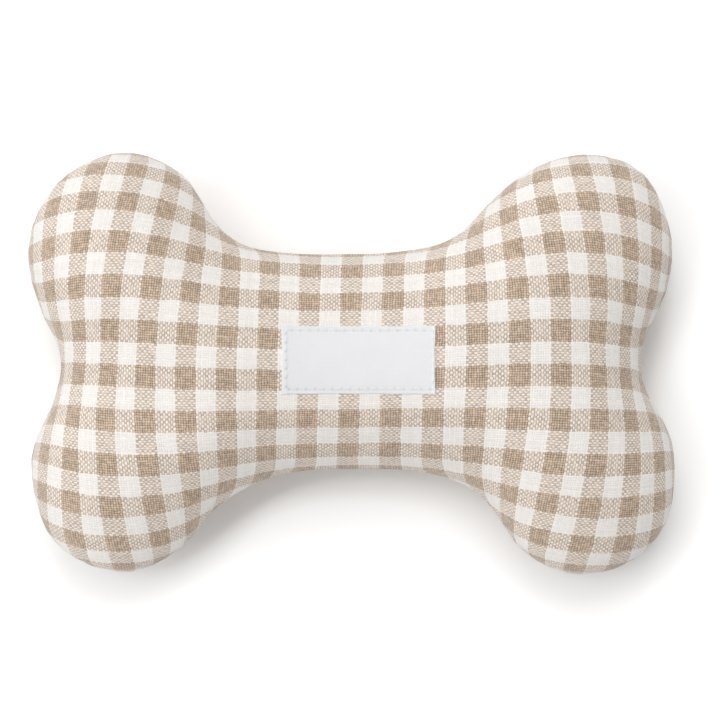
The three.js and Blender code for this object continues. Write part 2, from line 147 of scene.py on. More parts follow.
def read_places(mesh):
    """The place of each vertex on its flat cloth."""
    read = np.empty(len(mesh.loops) * 2)
    mesh.uv_layers["cloth"].data.foreach_get("uv", read)
    places = np.zeros((len(mesh.vertices), 2))
    places[corner_vertices(mesh)] = read.reshape(-1, 2)
    return places


def apply_modifiers(made):
    """Replaces an object's mesh by what its modifiers make of it."""
    bpy.context.view_layer.update()
    shaped = made.evaluated_get(bpy.context.evaluated_depsgraph_get())
    mesh = bpy.data.meshes.new_from_object(shaped)
    made.modifiers.clear()
    made.data = mesh
    mesh.shade_smooth()


def vertex_array(mesh, what="co"):
    values = np.empty(len(mesh.vertices) * 3)
    mesh.vertices.foreach_get(what, values)
    return values.reshape(-1, 3)


def set_vertices(mesh, points):
    mesh.vertices.foreach_set("co", np.asarray(points, float).ravel())
    mesh.update()


def face_lists(mesh):
    return [list(polygon.vertices) for polygon in mesh.polygons]


def run_along(path):
    """How far along a path each of its points lies."""
    return np.r_[0, np.cumsum(np.linalg.norm(np.diff(path, axis=0), axis=1))]


def read_off(wanted, run, values):
    """What a path's points hold, at the wanted runs along it."""
    return np.stack([np.interp(wanted, run, column) for column in values.T], axis=1)


def grid_quads(grid):
    """The faces between the rows and columns of a grid of points."""
    corners = [grid[:-1, :-1], grid[:-1, 1:], grid[1:, 1:], grid[1:, :-1]]
    return np.stack(corners, axis=-1).reshape(-1, 4)


def unit(vectors):
    return vectors / np.maximum(np.linalg.norm(vectors, axis=1), 1e-12)[:, None]


def eased(share):
    share = np.clip(share, 0, 1)
    return share * share * (3 - 2 * share)


def noise_at(points, wavelength, seed):
    """Smooth noise from about -1 to 1 at each point."""
    shift = Vector((seed * 7.3, seed * 3.1, seed * 5.7))
    return np.array([noise.noise(Vector(p) / wavelength + shift) for p in points])


def edge_loops(faces):
    """Closed loops of the edges that only one face uses."""
    uses = {}
    for face in faces:
        for first, second in zip(face, face[1:] + face[:1]):
            if (second, first) in uses:
                del uses[(second, first)]
            else:
                uses[(first, second)] = True
    following = {first: second for first, second in uses}
    loops = []
    while following:
        start = next(iter(following))
        loop = []
        while start in following:
            loop.append(start)
            start = following.pop(start)
        loops.append(loop)
    return loops


# Outline of the seam, read from the flat underside of the front panel
def seam_outline():
    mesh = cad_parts["front_panel"].data
    keys = {}
    weld = [keys.setdefault(tuple(np.round(v.co[:], 6)), len(keys)) for v in mesh.vertices]
    spots = np.array(list(keys))
    low = spots[:, 2].min() + 1e-5
    flat = [[weld[v] for v in polygon.vertices] for polygon in mesh.polygons]
    flat = [face for face in flat if spots[face, 2].max() < low]
    loops = [spots[loop][:, :2] for loop in edge_loops(flat)]
    loop = max(loops, key=loop_length)
    return loop if loop_area(loop) > 0 else loop[::-1]


def loop_length(loop):
    return np.linalg.norm(np.roll(loop, -1, 0) - loop, axis=1).sum()


def loop_area(loop):
    """The area inside a loop, negative where it runs clockwise."""
    following = np.roll(loop, -1, 0)
    return (loop[:, 0] * following[:, 1] - loop[:, 1] * following[:, 0]).sum() / 2


def evenly_spaced(loop, count, fine=12):
    """The smooth curve through a closed loop, as evenly spaced points."""
    before, after, beyond = (np.roll(loop, shift, 0)[:, None] for shift in (1, -1, -2))
    here = loop[:, None]
    t = (np.arange(fine) / fine)[None, :, None]
    curve = here + 0.5 * t * (after - before)
    curve = curve + 0.5 * t**2 * (2 * before - 5 * here + 4 * after - beyond)
    curve = curve + 0.5 * t**3 * (3 * here - before - 3 * after + beyond)
    curve = curve.reshape(-1, 2)
    closed = np.vstack([curve, curve[:1]])
    run = run_along(closed)
    return read_off(np.linspace(0, run[-1], count, endpoint=False), run, closed)


def outward(loop):
    along = unit(np.roll(loop, -1, 0) - np.roll(loop, 1, 0))
    return np.stack([along[:, 1], -along[:, 0]], axis=1)


def inside(points, loop):
    x, y = points[:, :1], points[:, 1:2]
    ax, ay = loop.T
    bx, by = np.roll(loop, -1, 0).T
    crossing = ((ay > y) != (by > y)) & (x < (bx - ax) * (y - ay) / (by - ay + 1e-30) + ax)
    return crossing.sum(1) % 2 == 1


SEAM_POINTS = 1332
BEND_SMOOTHING = 0.015
outline = seam_outline()
seam_length = loop_length(evenly_spaced(outline, 2000))
seam = evenly_spaced(outline, SEAM_POINTS)
seam_out = outward(seam)
seam_step = seam_length / SEAM_POINTS


def curvature_of(loop, step):
    """Positive where the outline bulges."""
    along = unit(np.roll(loop, -1, 0) - np.roll(loop, 1, 0))
    angle = np.unwrap(np.arctan2(along[:, 1], along[:, 0]))
    bend = (np.roll(angle, -1) - np.roll(angle, 1) + np.pi) % (2 * np.pi) - np.pi
    bend = bend / (2 * step)
    reach = int(BEND_SMOOTHING / step)
    window = np.hanning(reach * 2 + 1)
    padded = np.r_[bend[-reach:], bend, bend[:reach]]
    return np.convolve(padded, window / window.sum(), mode="valid")


seam_bend = curvature_of(seam, seam_step)


def nearest_seam(points):
    """Index of the seam point nearest to each point, seen from above."""
    found = np.empty(len(points), int)
    for first in range(0, len(points), 2000):
        part = points[first : first + 2000, None, :2]
        found[first : first + 2000] = ((part - seam[None]) ** 2).sum(-1).argmin(1)
    return found


# Crown of the stuffed toy over its seam: it rises as the root of the mean distance to the outline
def mean_distance(points):
    found = np.zeros(len(points))
    for first in range(0, len(points), 4000):
        spokes = outline[None] - points[first : first + 4000, None]
        following = np.roll(spokes, -1, 1)
        cross = spokes[..., 0] * following[..., 1] - spokes[..., 1] * following[..., 0]
        half = np.tan(np.arctan2(cross, (spokes * following).sum(-1)) / 2)
        lengths = np.maximum(np.linalg.norm(spokes, axis=-1), 1e-9)
        total = ((np.roll(half, 1, 1) + half) / lengths).sum(1)
        found[first : first + 4000] = np.where(total > 0, 1 / np.maximum(total, 1e-9), 0)
    return found


crown_places = np.array(CROWNS)[:, :2]
crown_factors = np.array(CROWNS)[:, 2] / np.sqrt(mean_distance(crown_places))


def crown(points):
    apart = ((points[:, None] - crown_places[None]) ** 2).sum(-1)
    weights = 1 / (apart + CROWN_BLEND**2) ** 2
    factor = (weights * crown_factors).sum(1) / weights.sum(1)
    return factor * np.sqrt(mean_distance(points))


# One cloth panel as evenly spaced triangles on the crown. They are laid out on a wider outline
# and drawn in at the edge, because the crown's wall stands nearly upright there.
def panel_mesh():
    wide = evenly_spaced(seam + seam_out * WALL_REACH, 600)
    count = int(loop_length(wide) / MESH_STEP)
    wide = evenly_spaced(wide, count)
    low, high = wide.min(0), wide.max(0)
    rows = np.arange(low[1], high[1], MESH_STEP * math.sqrt(3) / 2)
    columns = np.arange(low[0], high[0], MESH_STEP)
    staggered = [(k % 2 * MESH_STEP / 2, y) for k, y in enumerate(rows)]
    grid = np.array([(x + shift, y) for shift, y in staggered for x in columns])
    apart = np.linalg.norm(grid[:, None] - wide[None], axis=-1).min(1)
    grid = grid[(apart > RIM_CLEARANCE) & inside(grid, wide)]
    edges = [(i, (i + 1) % count) for i in range(count)]
    spots = [Vector(p) for p in np.vstack([wide, grid])]
    made = delaunay_2d_cdt(spots, edges, [list(range(count))], 1, 1e-7)
    flat = np.array([tuple(v) for v in made[0]])
    spokes = np.linalg.norm(wide[None] - flat[:, None], axis=-1)
    inset = spokes.min(1)
    weights = np.exp((inset[:, None] - spokes) / FACING_BLEND)
    facing = ((weights / weights.sum(1)[:, None])[..., None] * outward(wide)[None]).sum(1)
    shift = np.sqrt(inset**2 + WALL_REACH**2) - inset
    places = flat - facing * shift[:, None]
    heights = crown(places)
    heights[:count] = 0
    return np.c_[places, heights], np.array(made[2]), count


# How far the threads shear towards each other on the steep corners: 1 keeps them square
SQUARE_SHARE = 0.6


# Thread net: how far along the cloth each point lies, in both directions of the weave
def thread_net(points, faces):
    a, b, c = (points[faces[:, k]] for k in range(3))
    normal = np.cross(b - a, c - a)
    double = np.linalg.norm(normal, axis=1)
    normal = normal / double[:, None]
    slopes = [np.cross(normal, edge) / double[:, None] for edge in (c - b, a - c, b - a)]
    size = len(points)
    pairs = [(i, j) for i in range(3) for j in range(3)]
    rows = np.concatenate([faces[:, i] for i, _ in pairs])
    columns = np.concatenate([faces[:, j] for _, j in pairs])
    values = np.concatenate([double / 2 * (slopes[i] * slopes[j]).sum(1) for i, j in pairs])
    diagonal = np.bincount(rows[rows == columns], values[rows == columns], size)

    def spread(wanted, guess):
        """Least-squares distances whose slope is the wanted direction, by conjugate gradients."""
        pulls = [double / 2 * (slope * wanted).sum(1) for slope in slopes]
        right = sum(np.bincount(faces[:, k], pulls[k], size) for k in range(3))
        found = guess.copy()
        rest = right - np.bincount(rows, values * found[columns], size)
        weighed = rest / diagonal
        search = weighed.copy()
        for _ in range(1500):
            pushed = np.bincount(rows, values * search[columns], size)
            step = (rest @ weighed) / (search @ pushed)
            found += step * search
            following = rest - step * pushed
            if np.abs(following).max() < 1e-10:
                break
            next_weighed = following / diagonal
            search = next_weighed + (following @ next_weighed) / (rest @ weighed) * search
            rest, weighed = following, next_weighed
        return found - found.mean()

    along_x = unit(np.array([1.0, 0, 0]) - normal[:, :1] * normal)
    along_y = unit(np.array([0, 1.0, 0]) - normal[:, 1:2] * normal)
    middle = unit(along_x + along_y)
    across = np.cross(normal, middle)
    square_x, square_y = unit(middle - across), unit(middle + across)
    sheared = 1 - SQUARE_SHARE
    u = spread(unit(sheared * along_x + SQUARE_SHARE * square_x), points[:, 0])
    v = spread(unit(sheared * along_y + SQUARE_SHARE * square_y), points[:, 1])
    return np.stack([u, v], axis=1)


# How far the checks stray from that even net, at most, in metres. The front is measured from the
# photograph. It was cut and stuffed by hand, so it isn't quite symmetrical.
COLUMNS_DRAWN_OUT = 0.0070
COLUMNS_CLOSER = 0.0034
COLUMNS_SKEWED = 0.0014
COLUMNS_OVER_KNOBS = 0.0013
ROWS_CLOSER_AT_KNOBS = 0.0115
ROWS_WIDER = 0.0047
ROWS_WIDER_AT_EDGE = 0.0037
ROWS_OVER_KNOBS = 0.0017
ROWS_TILTED = 0.0022
ROWS_FLATTER_AT_ENDS = 0.0040
COLUMNS_CLOSER_AT_WAIST = 0.0045
FRONT_PHASE = (-0.0009, -0.0054)
BACK_PHASE = (0.0041, -0.0023)
HALF_LENGTH = 0.1
HALF_WIDTH = 0.0655


def strayed(points):
    """How far each place's checks lie from the even net. Along and across run from -1 to 1."""
    along, across = points[:, 0] / HALF_LENGTH, points[:, 1] / HALF_WIDTH
    knobs = 4 * along**2 * (1 - along**2)
    at_edges = 2.6 * along * (1 - along**2) * across**2
    columns = COLUMNS_CLOSER * along * (1 - 2 * along**4) - COLUMNS_DRAWN_OUT * at_edges
    columns += COLUMNS_SKEWED * across * (1 - 2 * along**3) + COLUMNS_OVER_KNOBS * knobs
    rows = ROWS_CLOSER_AT_KNOBS * knobs * across - ROWS_WIDER * across - ROWS_WIDER_AT_EDGE * across**3
    rows += ROWS_TILTED * along * (1 - 1.7 * along**2) + ROWS_OVER_KNOBS * knobs
    rows += ROWS_FLATTER_AT_ENDS * along**8 * across * (1 + across / 2)
    columns -= COLUMNS_CLOSER_AT_WAIST * along**5 * np.exp(-(((across - 0.05) / 0.22) ** 2))
    return np.stack([columns, rows], axis=1)


# Cloth simulation of one panel, blown up against its seam
SLACK = 1.012
SEWN_FRAME = 14
LAST_FRAME = 40
MOST_MOVED = 0.0009


def settled(points, faces, rim_count):
    loose = points * np.array([SLACK, SLACK, 1.0])
    cloth = new_object("settling", loose, faces)
    cloth.shape_key_add(name="Basis")
    sewn = cloth.shape_key_add(name="sewn")
    for index in range(rim_count):
        sewn.data[index].co = points[index]
    sewn.value = 0
    sewn.keyframe_insert("value", frame=1)
    sewn.value = 1
    sewn.keyframe_insert("value", frame=SEWN_FRAME)
    pins = cloth.vertex_groups.new(name="rim")
    pins.add(list(range(rim_count)), 1.0, "REPLACE")
    settings = set_all(
        cloth.modifiers.new("cloth", "CLOTH").settings,
        quality=8,
        mass=0.3,
        tension_stiffness=25,
        compression_stiffness=4,
        shear_stiffness=5,
        bending_stiffness=0.6,
        use_pressure=True,
        uniform_pressure_force=600,
        vertex_group_mass="rim",
        pin_stiffness=50,
        air_damping=3,
        tension_damping=10,
        shear_damping=10,
    )
    settings.effector_weights.gravity = 0
    scene.frame_start, scene.frame_end = 1, LAST_FRAME
    for number in range(1, LAST_FRAME + 1):
        scene.frame_set(number)
    shaped = cloth.evaluated_get(bpy.context.evaluated_depsgraph_get())
    moved = vertex_array(shaped.data) - points
    bpy.data.objects.remove(cloth)
    scene.frame_set(1)
    far = np.linalg.norm(moved, axis=1)
    kept = MOST_MOVED * np.tanh(far / MOST_MOVED) / np.maximum(far, 1e-9)
    return points + moved * kept[:, None]


# Gathers along the seam: small folds 4 to 8 mm apart where the outline bulges
GATHER_COUNTS = range(68, 124, 5)
GATHER_DEPTH = 0.00012
GATHER_REACH = 0.0065
GATHER_IN_SEAM = 0.00008
GATHER_BY_BEND = 0.035
GATHER_WHERE_STRAIGHT = 0.25

# Lumps of the stuffing that are felt through the cloth
LONG_LUMP = 0.028
LONG_LUMP_HEIGHT = 0.0003
SHORT_LUMP = 0.009
SHORT_LUMP_HEIGHT = 0.00007
SMOOTH_BY_SEAM = 0.012


def gather_wave(seed):
    """From 0 between the folds to below 0 in them, at each point of the seam."""
    random = np.random.default_rng(seed)
    turns = np.arange(SEAM_POINTS) / SEAM_POINTS * 2 * math.pi
    wave = np.zeros(SEAM_POINTS)
    for cycles in GATHER_COUNTS:
        wave += random.uniform(0.5, 1) * np.cos(cycles * turns + random.uniform(0, 2 * math.pi))
    wave /= wave.std()
    bulge = eased(seam_bend * GATHER_BY_BEND + GATHER_WHERE_STRAIGHT)
    patchy = 0.65 + 0.35 * np.cos(5 * turns + random.uniform(0, 6)) * np.cos(3 * turns)
    return -np.maximum(wave + 0.3, 0) ** 1.4 * bulge * patchy


def shape_panel(points, normals, seed):
    """Points over the seam plane, with gathers, small lumps and the rise of the rolled edge."""
    near = nearest_seam(points)
    wall = np.hypot(np.linalg.norm(points[:, :2] - seam[near], axis=1), points[:, 2])
    gathers = gather_wave(seed)[near] * np.exp(-((wall / GATHER_REACH) ** 1.3))
    lumps = noise_at(points, LONG_LUMP, seed) * LONG_LUMP_HEIGHT
    lumps += noise_at(points, SHORT_LUMP, seed + 5) * SHORT_LUMP_HEIGHT
    lumps *= eased(wall / SMOOTH_BY_SEAM)
    shaped = points + normals * (gathers * GATHER_DEPTH + lumps)[:, None]
    shaped[:, 2] = np.sqrt(np.maximum(shaped[:, 2], 0) ** 2 + ROLL**2)
    return shaped


def beyond_rim(places, faces, rim):
    """Which way the cloth runs on past its rim, in the weave's own directions."""
    on_rim = np.zeros(len(places), bool)
    on_rim[rim] = True
    inner = np.zeros((len(places), 2))
    met = np.zeros(len(places))
    for face in faces:
        centre = places[[v for v in face if not on_rim[v]]]
        if len(centre):
            for v in face:
                if on_rim[v]:
                    inner[v] += centre.mean(0)
                    met[v] += 1
    inner = inner[rim] / np.maximum(met[rim], 1)[:, None]
    beyond = unit(places[rim] - inner)
    return unit(sum(np.roll(beyond, shift, 0) for shift in range(-3, 4)))


def with_rolled_edge(points, places, faces, seed):
    """Adds the edge, rolled in over a quarter circle, and the allowance on the seam plane."""
    rim = edge_loops(faces)[0]
    rim_points, rim_places = points[rim], places[rim]
    beyond = beyond_rim(places, faces, rim)
    near = nearest_seam(rim_points)
    rings = []
    for angle in np.radians(ROLL_TURNS):
        rings.append((ROLL * (1 - math.cos(angle)), ROLL * (1 - math.sin(angle)), ROLL * angle))
    for inset in ALLOWANCE_INSETS:
        rings.append((inset, 0.0, ROLL * math.pi / 2 + inset - ROLL))
    gathers = gather_wave(seed)[near] * GATHER_IN_SEAM
    last = np.array(rim)
    for inset, height, run in rings:
        inwards = inset - gathers * min(inset / ROLL, 1)
        flat = rim_points[:, :2] - seam_out[near] * inwards[:, None]
        ring = len(points) + np.arange(len(rim))
        quads = np.stack([np.roll(last, -1), last, ring, np.roll(ring, -1)], axis=1)
        faces += quads.tolist()
        points = np.vstack([points, np.c_[flat, np.full(len(rim), height)]])
        places = np.vstack([places, rim_places + beyond * run / CHECK])
        last = ring
    return points, places, faces


def cloth_panel(name, node, side, seed):
    """One panel of cloth: its crown, the edge rolled in to the seam, and the allowance inside."""
    points, faces, rim_count = panel_mesh()
    phase = FRONT_PHASE if side > 0 else BACK_PHASE
    places = (thread_net(points, faces) - strayed(points) * side - np.array(phase)) / CHECK
    points = settled(points, faces, rim_count)
    points[:rim_count, 2] = 0
    panel = new_object(name, points, faces.tolist(), places)
    modify(panel, "SUBSURF", levels=1, render_levels=1)
    apply_modifiers(panel)
    faces = face_lists(panel.data)
    places = read_places(panel.data)
    points = shape_panel(vertex_array(panel.data), vertex_array(panel.data, "normal"), seed)
    bpy.data.objects.remove(panel)
    points, places, faces = with_rolled_edge(points, places, faces, seed)

    heights = points[:, 2] + SEAM_HALF_GAP
    if side < 0:
        # Pressed flat where it lies on the floor
        faces = [face[::-1] for face in faces]
        heights = SEAM_Z - heights
        heights = (heights + np.sqrt(heights**2 + REST_SOFTNESS**2)) / 2
    else:
        heights = SEAM_Z + heights
    panel = new_object(name, np.c_[points[:, :2], heights], faces, places)
    outer = (vertex_array(panel.data), faces)
    modify(panel, "SOLIDIFY", thickness=CLOTH, offset=-1)
    apply_modifiers(panel)
    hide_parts(node)
    return panel, outer


front, front_outer = cloth_panel("front_cloth", "front_panel", 1, 3)
back, back_outer = cloth_panel("back_cloth", "back_panel", -1, 8)
front_tree = BVHTree.FromPolygons(front_outer[0].tolist(), front_outer[1])
back_tree = BVHTree.FromPolygons(back_outer[0].tolist(), back_outer[1])


def cloth_height(x, y):
    """Height of the front cloth's face."""
    place = front_tree.ray_cast(Vector((x, y, 0.08)), Vector((0, 0, -1)))[0]
    return place.z


# Tubes of thread, with the length and the turn round them as their cloth places
def tube(name, path, radius, sides=8):
    path = np.asarray(path, float)
    along = unit(np.gradient(path, axis=0))
    side = np.cross(along, np.array([0.0, 0.0, 1.0]))
    weak = np.linalg.norm(side, axis=1) < 0.2
    side[weak] = np.cross(along[weak], np.array([1.0, 0.3, 0.0]))
    side = unit(side)
    for index in range(1, len(side)):
        if side[index] @ side[index - 1] < 0:
            side[index] = -side[index]
    up = np.cross(side, along)
    angles = np.linspace(0, 2 * math.pi, sides, endpoint=False)
    ring = np.cos(angles)[:, None] * side[:, None] + np.sin(angles)[:, None] * up[:, None]
    points = (path[:, None] + radius * ring).reshape(-1, 3)
    run = run_along(path)
    places = np.stack([np.repeat(run / radius, sides), np.tile(angles, len(path))], axis=1)
    grid = np.arange(len(points)).reshape(-1, sides)
    faces = grid_quads(np.c_[grid, grid[:, 0]])[:, ::-1].tolist()
    faces += [grid[0].tolist(), grid[-1, ::-1].tolist()]
    return new_object(name, points, faces, places)


def stitched_path(line, normals, pitch, rise, dip, steps=8):
    """A thread that lies on a line of close points and dips between stitches."""
    run = run_along(line)
    stitches = max(1, round(run[-1] / pitch))
    wanted = np.linspace(0, run[-1], stitches * steps + 1)
    spots = read_off(wanted, run, line)
    facing = unit(read_off(wanted, run, normals))
    phase = (np.arange(len(wanted)) % steps) / steps
    lift = rise - (rise + dip) * np.maximum(0, np.cos(phase * 2 * math.pi)) ** 6
    return spots + facing * lift[:, None]


# Label: a woven strip with both ends folded under, sewn down all round
LABEL_X = (LABEL_LOW.x, LABEL_HIGH.x)
LABEL_Y = (LABEL_LOW.y, LABEL_HIGH.y)
LABEL_THICK = 0.00038
LABEL_THINNEST = 0.00008
LABEL_GAP = 0.00006
LABEL_STEP = 0.00026
LABEL_MARGIN = 0.0008
LABEL_EDGE_LINES = np.array([0, 0.00006, 0.00014, 0.00028, 0.0005])
LABEL_EDGE_RADIUS = 0.00024
SIDES_DRAWN_IN = 0.00018
ENDS_DRAWN_IN = 0.00022
SIDE_WAVE = 0.00006
END_WAVE = 0.00005
LEFT_FOLD = 0.0020
RIGHT_FOLD = 0.0010
LEFT_FOLD_RISE = 0.00014
RIGHT_FOLD_RISE = 0.00012
FOLD_STEP = 0.0003
STITCH_INSET = 0.0015
RIGHT_INSET = 0.0007
STITCH_PITCH = 0.0027
STITCH_END_GAP = 0.0008
HOLE_DEPTH = 0.00022
HOLE_WIDTH = 0.0004
HOLE_REACH = 0.00036
LINE_DEPTH = 0.00006
LINE_WIDTH = 0.0007
STITCH_DIP = 0.0006
THREAD = 0.00013
THREAD_GAP = 0.0001
BED_COLUMNS = 48
BED_ROWS = 24


def label_lines(low, high):
    """Places across the label, closer together near its edges."""
    count = int((high - low) / LABEL_STEP)
    middle = np.linspace(low + LABEL_MARGIN, high - LABEL_MARGIN, count)
    return np.r_[low + LABEL_EDGE_LINES, middle, high - LABEL_EDGE_LINES[::-1]]


label_grid_x, label_grid_y = np.meshgrid(label_lines(*LABEL_X), label_lines(*LABEL_Y))
bed_rows = np.linspace(LABEL_Y[0], LABEL_Y[1], BED_ROWS + 1)
bed_columns = np.linspace(LABEL_X[0], LABEL_X[1], BED_COLUMNS + 1)
bed = np.array([[cloth_height(x, y) for x in bed_columns] for y in bed_rows])


def label_bed(x, y):
    """The smooth bed of cloth under the label."""
    column = (x - LABEL_X[0]) / (LABEL_X[1] - LABEL_X[0]) * BED_COLUMNS
    row = (y - LABEL_Y[0]) / (LABEL_Y[1] - LABEL_Y[0]) * BED_ROWS
    column, row = np.clip(column, 0, BED_COLUMNS - 0.001), np.clip(row, 0, BED_ROWS - 0.001)
    i, j = column.astype(int), row.astype(int)
    s, t = column - i, row - j
    low = bed[j, i] * (1 - s) + bed[j, i + 1] * s
    high = bed[j + 1, i] * (1 - s) + bed[j + 1, i + 1] * s
    return low * (1 - t) + high * t


def label_stitch_line(step=0.0003):
    """Places along the stitches, from the lower left corner right round to just above it."""
    left, right = LABEL_X[0] + STITCH_INSET, LABEL_X[1] - RIGHT_INSET
    low, high = LABEL_Y[0] + STITCH_INSET, LABEL_Y[1] - STITCH_INSET
    corners = [(left + STITCH_END_GAP, low), (right, low), (right, high), (left, high)]
    corners.append((left, low + STITCH_END_GAP))
    line = []
    for (ax, ay), (bx, by) in zip(corners, corners[1:]):
        count = int(math.hypot(bx - ax, by - ay) / step)
        line += [(ax + (bx - ax) * k / count, ay + (by - ay) * k / count) for k in range(count)]
    return np.array(line + [corners[-1]])


stitch_line = label_stitch_line()
stitch_run = run_along(stitch_line)
holes = np.linspace(0, stitch_run[-1], round(stitch_run[-1] / STITCH_PITCH) + 1)
hole_places = read_off(holes, stitch_run, stitch_line)


def nearest_to(x, y, places):
    """Distance from each place to the nearest of some others."""
    spots = np.stack([np.ravel(x), np.ravel(y)], axis=1)
    apart = np.full(len(spots), np.inf)
    for place in places:
        apart = np.minimum(apart, np.hypot(*(spots - place).T))
    return apart.reshape(np.shape(x))


def dent(apart, width):
    """1 in the middle of a dent, falling off round it."""
    return np.exp(-((apart / width) ** 2))


def label_top(x, y):
    """Height of the label's face, with its folded ends and the pull of its stitches."""
    left_fold = eased((LABEL_X[0] + LEFT_FOLD - x) / FOLD_STEP) * LEFT_FOLD_RISE
    right_fold = eased((x - LABEL_X[1] + RIGHT_FOLD) / FOLD_STEP) * RIGHT_FOLD_RISE
    at_holes = HOLE_DEPTH * dent(nearest_to(x, y, hole_places), HOLE_WIDTH)
    at_line = LINE_DEPTH * dent(nearest_to(x, y, stitch_line[::3]), LINE_WIDTH)
    height = label_bed(x, y) + LABEL_GAP + LABEL_THICK
    return height + left_fold + right_fold - at_holes - at_line


def make_label():
    x, y = label_grid_x.copy(), label_grid_y.copy()
    to_edge = np.minimum.reduce([x - LABEL_X[0], LABEL_X[1] - x, y - LABEL_Y[0], LABEL_Y[1] - y])
    short = np.maximum(LABEL_EDGE_RADIUS - to_edge, 0)
    droop = LABEL_EDGE_RADIUS - np.sqrt(np.maximum(LABEL_EDGE_RADIUS**2 - short**2, 0))
    top = label_top(x, y) - droop
    bottom = np.minimum(label_bed(x, y) + LABEL_GAP, top - LABEL_THINNEST)
    # The long edges draw in a little between the corners, and the ends are a thread or two uneven
    share = (x - LABEL_X[0]) / (LABEL_X[1] - LABEL_X[0])
    up = (y - LABEL_Y[0]) / (LABEL_Y[1] - LABEL_Y[0])
    y += SIDES_DRAWN_IN * np.sin(math.pi * share) * (1 - 2 * up) + SIDE_WAVE * np.sin(share * 23)
    x += ENDS_DRAWN_IN * np.sin(math.pi * up) * (1 - 2 * share) ** 3 + END_WAVE * np.sin(up * 17)
    points = np.vstack([np.stack([x, y, z], axis=-1).reshape(-1, 3) for z in (top, bottom)])
    grid = np.arange(x.size).reshape(x.shape)
    quads = grid_quads(grid)
    quads = np.stack([quads, x.size + quads[:, ::-1]], axis=1).reshape(-1, 4)
    rim = np.r_[grid[0], grid[1:, -1], grid[-1, -2::-1], grid[-2:0:-1, 0]]
    following = np.roll(rim, -1)
    skirt = np.stack([rim, x.size + rim, x.size + following, following], axis=1)
    faces = np.vstack([quads, skirt]).tolist()
    made = new_object("label_strip", points, faces, points[:, :2] / CHECK)
    # Painted shade in the needle holes where the thread pulls the label down, none under the right
    # fold
    hole_shade = dent(nearest_to(points[:, 0], points[:, 1], hole_places), HOLE_REACH)
    hole_shade *= eased((LABEL_X[1] - RIGHT_FOLD - points[:, 0]) / HOLE_WIDTH)
    layer = made.data.attributes.new("hole_shade", "FLOAT", "POINT")
    layer.data.foreach_set("value", hole_shade.astype(np.float32))
    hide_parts("label")
    return made


label = make_label()
upward = np.tile([0.0, 0.0, 1.0], (len(stitch_line), 1))
needle_line = np.c_[stitch_line, label_top(*stitch_line.T)]
needle_path = stitched_path(needle_line, upward, STITCH_PITCH, THREAD * 0.2, STITCH_DIP)
label_needle = tube("label_stitches", needle_path, THREAD)
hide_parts("label_needle_thread")
bobbin_line = np.c_[stitch_line, label_bed(*stitch_line.T) - CLOTH - THREAD_GAP]
bobbin_path = stitched_path(bobbin_line, -upward, STITCH_PITCH, THREAD * 1.2, STITCH_DIP / 3)
label_bobbin = tube("label_stitches_behind", bobbin_path, THREAD)
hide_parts("label_bobbin_thread")


# Seam: a lockstitch through both allowances, left open where the toy was turned and stuffed
OPENING = 0.052
OPENING_Y = -0.035
SEAM_THREAD = 0.00017
SEAM_STITCH = 0.0025
STITCH_LINE_INSET = 0.0016
LADDER_STITCH = 0.0045

# One ladder stitch: how far along it, how far in from the outline and how far off the seam plane
LADDER = [
    (0, 0.00045, 0.0007),
    (0.12, 0.0011, 0.0010),
    (0.5, 0.0017, 0.0012),
    (0.88, 0.0011, 0.0010),
    (1, 0.00045, 0.0007),
]


def opening_index():
    """The seam point in the middle of the opening, on the lower edge of the shaft."""
    return int(np.hypot(seam[:, 0], seam[:, 1] - OPENING_Y).argmin())


def seam_line(inset, height, first, count):
    index = (first + np.arange(count)) % SEAM_POINTS
    places = seam[index] - seam_out[index] * inset
    return np.c_[places, np.full(count, height)]


half_opening = int(OPENING / 2 / seam_step)
seam_start = opening_index() + half_opening
seam_count = SEAM_POINTS - 2 * half_opening
seam_threads = []
for name, node, side in (
    ("seam_stitches_front", "seam_needle_thread", 1),
    ("seam_stitches_back", "seam_bobbin_thread", -1),
):
    line = seam_line(STITCH_LINE_INSET, SEAM_Z + side * (CLOTH + THREAD_GAP), seam_start, seam_count)
    facing = np.tile([0.0, 0.0, float(side)], (len(line), 1))
    path = stitched_path(line, facing, SEAM_STITCH, SEAM_THREAD * 1.1, STITCH_DIP, steps=6)
    thread = tube(name, path, SEAM_THREAD, sides=6)
    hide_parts(node)
    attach(thread, "root")
    seam_threads.append(thread)


def closing_stitches():
    """Ladder stitches: along a fold in one panel, straight over the groove, then along the other."""
    steps = int(LADDER_STITCH / seam_step)
    count = int(OPENING / LADDER_STITCH) - 1
    first = opening_index() - (count * steps) // 2
    points = []
    for number in range(count):
        side = 1 if number % 2 == 0 else -1
        for share, inset, height in LADDER:
            index = (first + number * steps + int(share * steps)) % SEAM_POINTS
            place = seam[index] - seam_out[index] * inset
            points.append((*place, SEAM_Z + side * height))
    fine = np.linspace(0, len(points) - 1, len(points) * 4)
    return read_off(fine, np.arange(len(points)), np.array(points))


closing = tube("closing_stitches", closing_stitches(), SEAM_THREAD)
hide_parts("closing_thread")
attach(closing, "root")


# Pressing the shaft: how much of the squeeze each place follows
PRESS_MARGIN = 0.0005
PRESS_FADE = (0.032, 0.0205)
PRESS_BOTTOM = 0.002
PRESS_DEPTH = 0.014


def press_share(points):
    """1 under the label, easing to 0 towards the rim and towards the seam plane."""
    out = []
    for axis, (low, high) in enumerate((LABEL_X, LABEL_Y)):
        off_centre = np.abs(points[:, axis] - (low + high) / 2)
        past = np.maximum(off_centre - (high - low) / 2 - PRESS_MARGIN, 0)
        out.append(past / PRESS_FADE[axis])
    depth = eased((points[:, 2] - SEAM_Z - PRESS_BOTTOM) / PRESS_DEPTH)
    return (1 - eased(np.hypot(*out))) * depth


def follow_press(made):
    """Bakes the piece's transform into its mesh and works out, by place, how much of the press each
    point follows, because a dent fades out in every direction and not along one line."""
    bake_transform(made)
    shares = press_share(vertex_array(made.data))


